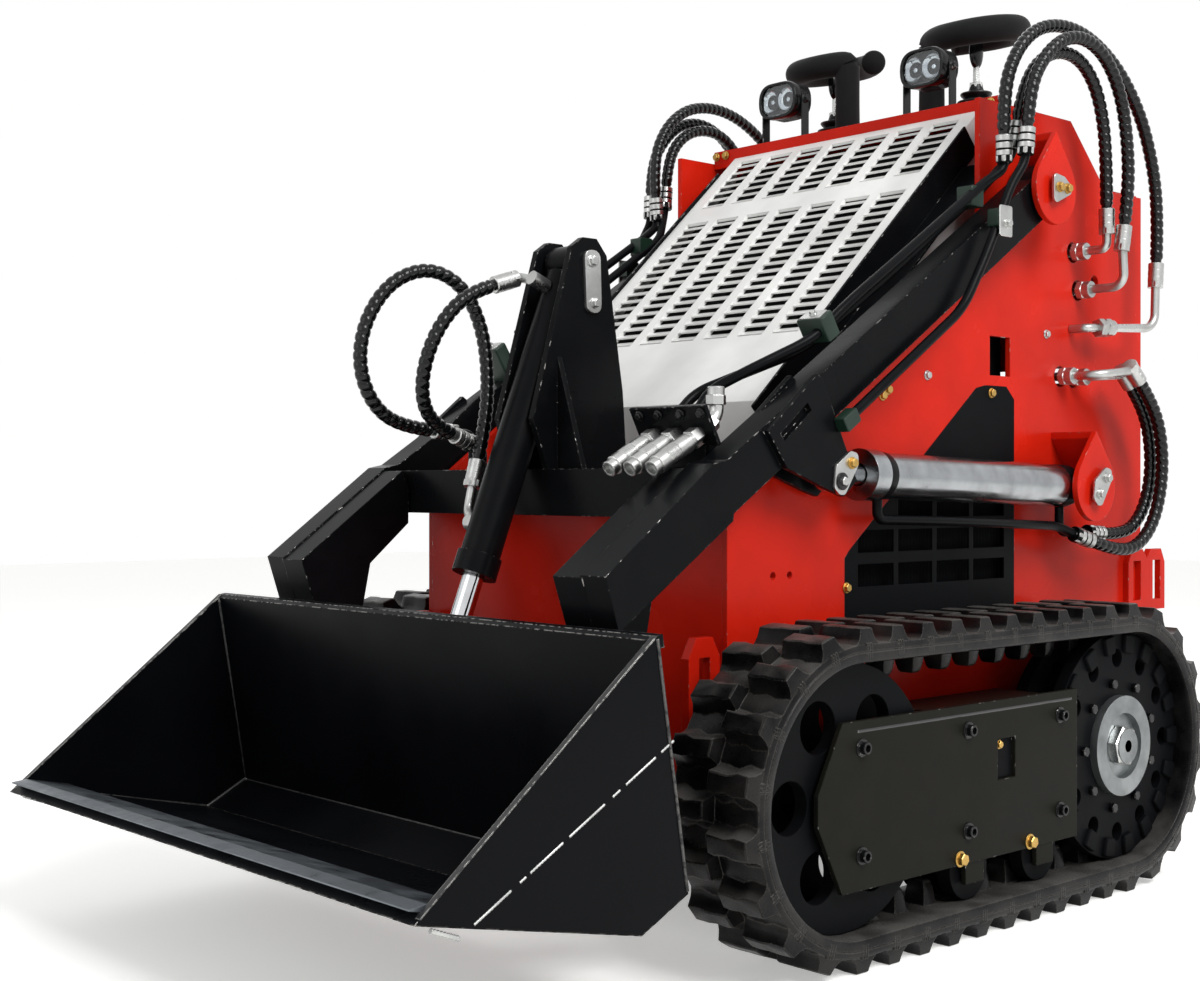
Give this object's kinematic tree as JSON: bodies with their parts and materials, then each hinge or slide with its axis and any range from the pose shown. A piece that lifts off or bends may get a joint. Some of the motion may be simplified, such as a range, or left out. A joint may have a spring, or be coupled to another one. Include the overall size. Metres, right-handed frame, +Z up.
{
  "type": "mini track loader",
  "caption": "Compact stand-on loader on two rubber tracks, with twin lift arms, lift and tilt cylinders, louvred hood, control console and a front bucket.",
  "frame": {"origin": "bottom centre of the bounding box, on the ground under the machine's middle plane", "axes": "+X forward towards the bucket, +Y to the machine's left, +Z up"},
  "size_m": [2.195, 1.146, 1.5972],
  "materials": {
    "black_paint": "semi-gloss black paint",
    "black_plastic": "black plastic",
    "chrome": "hard chrome",
    "engine_grey": "dark cast iron",
    "foam": "black foam sleeve",
    "hose_rubber": "black hose with spiral guard",
    "red_paint": "glossy red paint",
    "rubber": "matt black moulded rubber",
    "white_paint": "glossy white paint",
    "worn_steel": "worn bare steel",
    "zinc": "bright zinc plate"
  },
  "bodies": {
    "chassis": {"arm_bracket_left": "red_paint", "arm_bracket_right": "red_paint", "belly_pan": "black_paint", "console": "red_paint", "control_levers": "black_plastic", "cylinder_bracket_left": "red_paint", "cylinder_bracket_right": "red_paint", "drive_motor_left": "black_paint", "drive_motor_right": "black_paint", "engine": "engine_grey", "front_plate": "red_paint", "hand_rests": "foam", "hood": "white_paint", "hood_frames": "black_paint", "hubs": "zinc", "idler_left": "black_paint", "idler_right": "black_paint", "lift_hoses_left": "hose_rubber", "lift_hoses_right": "hose_rubber", "platform": "black_paint", "port_fittings": "zinc", "rear_hoses": "hose_rubber", "rear_panel": "black_paint", "rollers_left": "black_paint", "rollers_right": "black_paint", "side_grille_left": "black_paint", "side_grille_right": "black_paint", "side_plate_left": "red_paint", "side_plate_right": "red_paint", "sprocket_left": "black_paint", "sprocket_right": "black_paint", "tie_down_lugs": "red_paint", "track_frame_left": "black_paint", "track_frame_right": "black_paint", "track_left": "rubber", "track_right": "rubber", "work_lamps": "black_plastic"},
    "boom": {"arm_left": "black_paint", "arm_right": "black_paint", "tilt_tower": "black_paint", "coupler_bracket": "black_paint", "quick_couplers": "zinc", "arm_pipes": "black_paint", "tilt_hoses": "hose_rubber"},
    "left_lift_barrel": {"lift_barrel_left": "zinc", "lift_pipes_left": "black_paint"},
    "right_lift_barrel": {"lift_barrel_right": "zinc", "lift_pipes_right": "black_paint"},
    "left_lift_rod": {"lift_rod_left": "chrome"},
    "right_lift_rod": {"lift_rod_right": "chrome"},
    "tilt_cylinder": {"tilt_barrel": "black_paint", "tilt_ports": "zinc"},
    "tilt_piston": {"tilt_rod": "chrome"},
    "bucket_group": {"attach_plate": "black_paint", "bucket": "black_paint", "cutting_edge": "worn_steel"}
  },
  "joints": [
    {"name": "arm_lift", "type": "hinge", "parent": "chassis", "child": "boom", "pos_m": [-0.3545, 0, 1.212], "axis": [0, -1, 0], "range_deg": [0, 68], "deforming": ["rear_hoses"]},
    {"name": "bucket_tilt", "type": "hinge", "parent": "boom", "child": "bucket_group", "pos_m": [0.5935, 0, 0.185], "axis": [0, 1, 0], "range_deg": [0, 55]},
    {"name": "lift_barrel_left_swing", "type": "hinge", "parent": "chassis", "child": "left_lift_barrel", "pos_m": [-0.4565, 0.413, 0.692], "axis": [0, -1, 0], "range_deg": [0, 46.62], "deforming": ["lift_hoses_left"]},
    {"name": "lift_rod_left_slide", "type": "slide", "parent": "left_lift_barrel", "child": "left_lift_rod", "axis": [0.9995, 0, 0.0312], "range_m": [0, 0.4907]},
    {"name": "lift_barrel_right_swing", "type": "hinge", "parent": "chassis", "child": "right_lift_barrel", "pos_m": [-0.4565, -0.413, 0.692], "axis": [0, -1, 0], "range_deg": [0, 46.62], "deforming": ["lift_hoses_right"]},
    {"name": "lift_rod_right_slide", "type": "slide", "parent": "right_lift_barrel", "child": "right_lift_rod", "axis": [0.9995, 0, 0.0312], "range_m": [0, 0.4907]},
    {"name": "tilt_barrel_swing", "type": "hinge", "parent": "boom", "child": "tilt_cylinder", "pos_m": [0.3835, 0, 1.058], "axis": [0, -1, 0], "range_deg": [0, 9.04], "deforming": ["tilt_hoses"]},
    {"name": "tilt_rod_slide", "type": "slide", "parent": "tilt_cylinder", "child": "tilt_piston", "axis": [0.3685, 0, -0.9296], "range_m": [0, 0.2109]}
  ],
  "couplings": [
    {"joint": "lift_barrel_left_swing", "follows": "arm_lift", "ratio": 0.67825},
    {"joint": "lift_rod_left_slide", "follows": "arm_lift", "m_per_rad": 0.41173},
    {"joint": "lift_barrel_right_swing", "follows": "arm_lift", "ratio": 0.67825},
    {"joint": "lift_rod_right_slide", "follows": "arm_lift", "m_per_rad": 0.41173},
    {"joint": "tilt_barrel_swing", "follows": "bucket_tilt", "ratio": 0.15518},
    {"joint": "tilt_rod_slide", "follows": "bucket_tilt", "m_per_rad": 0.21761}
  ]
}
